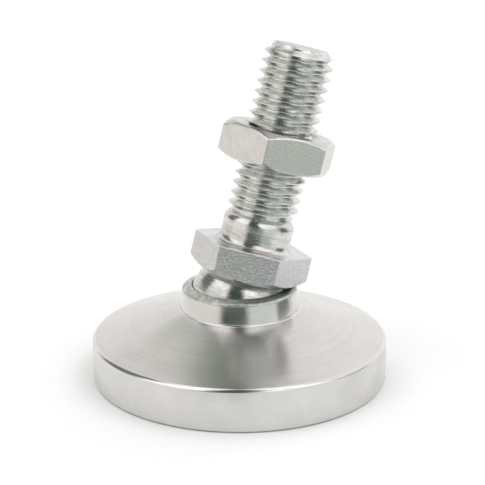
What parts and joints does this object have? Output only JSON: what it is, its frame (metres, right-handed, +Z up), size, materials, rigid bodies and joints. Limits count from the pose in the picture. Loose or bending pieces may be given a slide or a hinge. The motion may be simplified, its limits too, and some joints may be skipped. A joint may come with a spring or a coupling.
{
  "type": "furniture leveling foot",
  "caption": "Swivelling steel leveling foot: round turned base with a socket, threaded ball stud with a hexagon, and a thin lock nut on the thread.",
  "frame": {"origin": "centre of the base's underside, where it stands on the floor", "axes": "+Z up, out of the base; the stud leans 14.25 degrees from +Z, towards a heading 21 degrees from +X to +Y"},
  "size_m": [0.0508, 0.0508, 0.0576],
  "materials": {
    "base_steel": "zinc-plated turned steel, satin with fine turning lines, bright collar wall",
    "stud_steel": "zinc-plated steel, bright thread and shank, matt grainy hexagon",
    "nut_steel": "zinc-plated steel, smooth satin flats"
  },
  "bodies": {
    "base": {"base_pad": "base_steel"},
    "stud": {"ball_stud": "stud_steel"},
    "nut": {"jam_nut": "nut_steel"}
  },
  "joints": [
    {"name": "stud_tilt", "type": "hinge", "parent": "base", "child": "stud", "pos_m": [0, 0, 0.01275], "axis": [-0.3584, 0.9336, 0], "range_deg": [-28.5, 0]},
    {"name": "nut_travel", "type": "slide", "parent": "stud", "child": "nut", "axis": [0.2298, 0.0882, 0.9692], "range_m": [-0.0088, 0.0124]}
  ]
}
